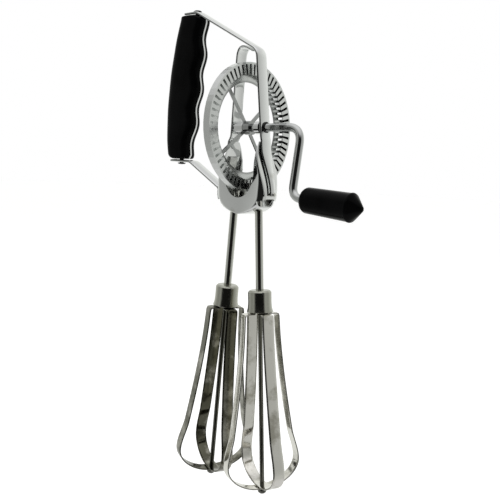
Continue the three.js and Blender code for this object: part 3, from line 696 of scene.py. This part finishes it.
def knob_space(x, y, h):
    """A point of the knob, h along its axis outwards from the crank rod's centre line."""
    out = Vector((0, -math.cos(KNOB_DROOP), -math.sin(KNOB_DROOP)))
    across = Vector((0, -math.sin(KNOB_DROOP), math.cos(KNOB_DROOP)))
    p = Vector((x, ARM_Y, -CRANK_RADIUS)) + out * h + across * y
    return crank_space(*p)


knob_profile = softened([
    (2.0, KNOB_START + 4), (2.0, KNOB_START), (5.2, KNOB_START),
    (7.0, KNOB_START + 0.9), (7.9, KNOB_START + 2.6),
    (8.2, KNOB_START + 17), (KNOB_RADIUS, KNOB_START + 32), (KNOB_RADIUS + 0.3, KNOB_START + 33.4),
    (KNOB_RADIUS, KNOB_START + 34.2), (1.3, KNOB_START + 41.0), (0.0, KNOB_START + 41.4),
], 0.6)
make_object("knob_skin", *skin(lathe_rings(knob_profile, 64, knob_space)), "knob", ["crank_knob"],
            "black_plastic", PLASTIC)

# ------------------------------------------------------------------ beaters

TILT = math.radians(3.87)
SHAFT_OFFSET = 6.8
TUBE_RADIUS = 2.55
COLLAR_TOP, COLLAR_BOTTOM, COLLAR_RADIUS = 104.5, 118.8, 7.7
BLADE_BOTTOM, BLADE_RADIUS = 234.0, 25.4
BLADE_PHASE = math.radians(27)
BLADE_WIDTH = 8.0
BLADE_THICKNESS = 0.85
TUBE_TOP = 33.4


def shaft_space(side, turn=0.0):
    """Places points along a leaning shaft: x and y across it, turned about it, and h up along it."""
    cos_t, sin_t = math.cos(turn), math.sin(turn)
    cos_l, sin_l = math.cos(side * TILT), math.sin(side * TILT)

    def space(x, y, h):
        u, v = x * cos_t - y * sin_t, x * sin_t + y * cos_t
        return place(u, side * SHAFT_OFFSET + v * cos_l - h * sin_l, v * sin_l + h * cos_l)

    return space


def bezier(a, b, c, d, steps):
    """Points of a cubic curve, without its first."""
    a, b, c, d = Vector(a), Vector(b), Vector(c), Vector(d)
    return [a * (1 - t) ** 3 + b * 3 * t * (1 - t) ** 2 + c * 3 * t * t * (1 - t) + d * t**3
            for t in (k / steps for k in range(1, steps + 1))]


def blade_route(drop):
    """A blade loop's middle line, down from the collar and back up; drop lowers its crossing."""
    top = -COLLAR_BOTTOM - 1.1
    shoulder = [(4.6, -COLLAR_BOTTOM + 5, 0), (4.6, top, 0.9), (11.9, top, 1.7), (12.2, top - 6, 0)]
    half = rounded_corners(shoulder, 6)
    half += bezier(half[-1], (13.2, -150), (17.4, -178), (21.0, -200), 16)
    half += bezier((21.0, -200), (22.6, -207), (BLADE_RADIUS, -212.5), (BLADE_RADIUS, -219), 10)
    low = -BLADE_BOTTOM - drop
    half += bezier((BLADE_RADIUS, -219), (BLADE_RADIUS, -226.5), (16.5, -232.4 - drop), (5.5, low), 14)
    half.append(Vector((0, low)))
    whole = half + [Vector((-p.x, p.y)) for p in reversed(half[:-1])]
    return evenly(whole, 1.6)


for end, side in (("front", -1), ("rear", 1)):
    body = f"{end}_beater"
    for which, drop, turn in (("inner", 0.0, -BLADE_PHASE), ("outer", 1.1, -BLADE_PHASE + math.pi / 2)):
        space = shaft_space(side, turn)
        rings = strip_rings(blade_route(drop), BLADE_WIDTH, BLADE_THICKNESS, 0.0,
                            lambda u, v, w, s=space: s(w, u, v))
        # The rear beater's blades take the darker copy of the blade steel, as painted shade.
        strip = make_object(f"{end}_{which}_blade_skin", *skin(rings), body, [f"{end}_{which}_blade"],
                            "blade_steel", BLADE if end == "front" else SHADED_REAR_BLADE)
        # The blade's narrow sides take painted shade.
        darken_edges(strip, BLADE_EDGE_SHADE)

    space = shaft_space(side)
    tube = softened([
        (1.6, -40), (1.6, -TUBE_TOP), (TUBE_RADIUS, -TUBE_TOP), (TUBE_RADIUS, -COLLAR_BOTTOM + 2),
        (1.6, -COLLAR_BOTTOM + 2), (1.6, -COLLAR_BOTTOM + 8),
    ], 0.3)
    make_object(f"{end}_tube_skin", *skin(lathe_rings(tube, 40, space)), body, [f"{end}_drive_tube"],
                "steel", SHAFT)

    r = COLLAR_RADIUS
    collar = softened([
        (TUBE_RADIUS + 0.05, -COLLAR_TOP - 3), (TUBE_RADIUS + 0.05, -COLLAR_TOP), (4.2, -COLLAR_TOP),
        (r - 1.1, -COLLAR_TOP - 0.1), (r, -COLLAR_TOP - 1.3), (r, -COLLAR_BOTTOM + 6),
        (r + 0.25, -COLLAR_BOTTOM + 2.6), (r + 0.9, -COLLAR_BOTTOM + 0.3), (r + 0.6, -COLLAR_BOTTOM),
        (6.9, -COLLAR_BOTTOM), (6.9, -COLLAR_TOP - 3), (TUBE_RADIUS + 0.05, -COLLAR_TOP - 3),
    ], 0.5)
    make_object(f"{end}_collar_skin", *skin(lathe_rings(collar, 56, space)), body, [f"{end}_collar"],
                "blade_steel", CUP)

# ------------------------------------------------------------------ CAD nodes that show as they are

# Each node's material, slot, and the width of its rounded edges.
KEPT = {
    "crown_wheel": (WHEEL, "frame_chrome", 0.1),
    "grip_core_plate": (CHROME, "frame_chrome", 0.12),
    "bearing_bridge": (INNER, "steel", 0.15),
    "front_spindle_bracket": (INNER, "steel", 0.15),
    "rear_spindle_bracket": (INNER, "steel", 0.15),
    "front_axle_boss": (CHROME, "steel", 0.25),
    "rear_axle_boss": (CHROME, "steel", 0.25),
    "front_housing_rivet": (SHAFT, "steel", 0.12),
    "rear_housing_rivet": (SHAFT, "steel", 0.12),
    # The front leg's bush is black as painted shade, for the dark gap where the crank rod passes through
    # the leg.
    "front_leg_bush": (BLACK_OXIDE_AND_SHADE, "black_screw", 0.2),
    "upper_grip_screw": (BLACK_OXIDE_AND_SHADE, "black_screw", 0.2),
    "lower_grip_screw": (BLACK_OXIDE_AND_SHADE, "black_screw", 0.2),
    "front_spindle": (PIN, "steel", 0.12),
    "rear_spindle": (PIN, "steel", 0.12),
    "front_pinion": (INNER, "steel", 0.1),
    "rear_pinion": (INNER, "steel", 0.1),
}
for name, (mat, slot, width) in KEPT.items():
    piece = nodes[name]
    piece.data.materials.clear()
    piece.data.materials.append(mat)
    smooth(piece, 32)
    round_edges(piece, width)

# ------------------------------------------------------------------ floor, light and camera

# The floor and the lamp are given in metres in the row frame; the camera's point is given to place().

FLOOR_HALF = 12
FLOOR_DROP = 0.03  # the floor lies this far below the whisks


def floor():
    """A pale floor, left out of reflections on the bright metal."""
    mesh = bpy.data.meshes.new("studio_floor")
    z = cad_box[0][2] - FLOOR_DROP
    signs = ((-1, -1), (1, -1), (1, 1), (-1, 1))
    mesh.from_pydata([(x * FLOOR_HALF, y * FLOOR_HALF, z) for x, y in signs], [], [(0, 1, 2, 3)])
    piece = bpy.data.objects.new("studio_floor", mesh)
    scene.collection.objects.link(piece)
    mat, tree, shader = new_material("studio_floor")
    shader.inputs["Base Color"].default_value = (0.92, 0.92, 0.92, 1)
    shader.inputs["Roughness"].default_value = 0.9
    shader.inputs["Specular IOR Level"].default_value = 0.1
    shader.inputs["Emission Color"].default_value = (1, 1, 1, 1)
    shader.inputs["Emission Strength"].default_value = 0.35
    mesh.materials.append(mat)
    piece.visible_glossy = False


floor()

CAMERA_AT = place(-353.2, -289.5, -32.0)
CAMERA_BACK = Vector((-0.7741, -0.6246, 0.1031))
CAMERA_RIGHT = Vector((0.6307, -0.7748, 0.0394))
CAMERA_UP = Vector((0.0553, 0.0956, 0.9937))

# Brightness of the studio's sides by the angle in degrees, seen from the object: 0 is towards
# the camera, and angles grow towards the left of the picture.
HORIZON = [
    (-180, 0.86), (-135, 0.9), (-118, 0.80), (-102, 0.66), (-84, 0.50), (-52, 0.56), (-45, 0.36),
    (-38, 0.012), (44, 0.012), (52, 0.30), (66, 0.54), (78, 0.38), (98, 0.46), (116, 0.62),
    (132, 0.78), (165, 0.86), (180, 0.86),
]
# Brightness above and below, and how far the sides show, by (1 + upward direction) / 2.
OVERHEAD = [(0.2, (0.66,)), (0.5, (0.6,)), (0.80, (0.62,)), (0.90, (0.78,)), (0.97, (1.0,))]
BELT = [(0.10, (0.0,)), (0.20, (1.0,)), (0.76, (1.0,)), (0.86, (0.0,))]


def studio_world():
    """A studio that is white to the camera; bright metal sees it dark around the camera and grey beside."""
    world = bpy.data.worlds.new("studio")
    scene.world = world
    world.use_nodes = True
    tree = world.node_tree
    background = tree.nodes["Background"]
    coords = add(tree, "ShaderNodeTexCoord")
    ahead = Vector((CAMERA_BACK.x, CAMERA_BACK.y, 0)).normalized()
    left = Vector((ahead.y, -ahead.x, 0))

    def along(direction):
        dot = add(tree, "ShaderNodeVectorMath", operation="DOT_PRODUCT")
        dot.inputs[1].default_value = direction
        tree.links.new(coords.outputs["Generated"], dot.inputs[0])
        return dot.outputs["Value"]

    turn = add(tree, "ShaderNodeMath", operation="ARCTAN2")
    tree.links.new(along(left), turn.inputs[0])
    tree.links.new(along(ahead), turn.inputs[1])
    share = add(tree, "ShaderNodeMapRange")
    share.inputs["From Min"].default_value = -math.pi
    share.inputs["From Max"].default_value = math.pi
    tree.links.new(turn.outputs["Value"], share.inputs["Value"])
    sides = [((angle + 180) / 360, (v * 0.985, v, v * 0.965)) for angle, v in HORIZON]
    round_about = ramp(tree, share.outputs["Result"], sides)

    height = add(tree, "ShaderNodeMapRange")
    height.inputs["From Min"].default_value = -1
    height.inputs["From Max"].default_value = 1
    tree.links.new(along(Vector((0, 0, 1))), height.inputs["Value"])
    overhead = ramp(tree, height.outputs["Result"], OVERHEAD)
    belt = ramp(tree, height.outputs["Result"], BELT)
    mix = add(tree, "ShaderNodeMix", data_type="RGBA")
    tree.links.new(belt.outputs["Color"], mix.inputs["Factor"])
    tree.links.new(overhead.outputs["Color"], mix.inputs[6])
    tree.links.new(round_about.outputs["Color"], mix.inputs[7])

    path = add(tree, "ShaderNodeLightPath")
    seen = add(tree, "ShaderNodeMix", data_type="RGBA")
    tree.links.new(path.outputs["Is Camera Ray"], seen.inputs["Factor"])
    tree.links.new(mix.outputs[2], seen.inputs[6])
    seen.inputs[7].default_value = (1.0, 1.0, 1.0, 1)
    tree.links.new(seen.outputs[2], background.inputs["Color"])
    background.inputs["Strength"].default_value = 1.0


studio_world()
scene.view_settings.view_transform = "Standard"
scene.view_settings.look = "None"


def soft_light(name, position, target, size, power):
    """A rectangular light that gives shade and shadow but no highlight on the metal."""
    data = bpy.data.lights.new(name, "AREA")
    data.shape = "RECTANGLE"
    data.size, data.size_y = size
    data.energy = power
    lamp = bpy.data.objects.new(name, data)
    scene.collection.objects.link(lamp)
    lamp.location = position
    lamp.visible_glossy = False
    lamp.rotation_euler = (Vector(position) - Vector(target)).to_track_quat("Z", "Y").to_euler()


soft_light("key", (-0.35, 0.45, 0.9), (0, -0.05, -0.05), (0.7, 0.7), 5.0)

camera = bpy.data.objects.new("camera", bpy.data.cameras.new("camera"))
scene.collection.objects.link(camera)
scene.camera = camera
camera.data.lens = 50.16
camera.data.sensor_width = 36
camera.data.clip_start = 0.01
rotation = Matrix((CAMERA_RIGHT, CAMERA_UP, CAMERA_BACK)).transposed().to_4x4()
camera.matrix_world = Matrix.Translation(CAMERA_AT) @ rotation
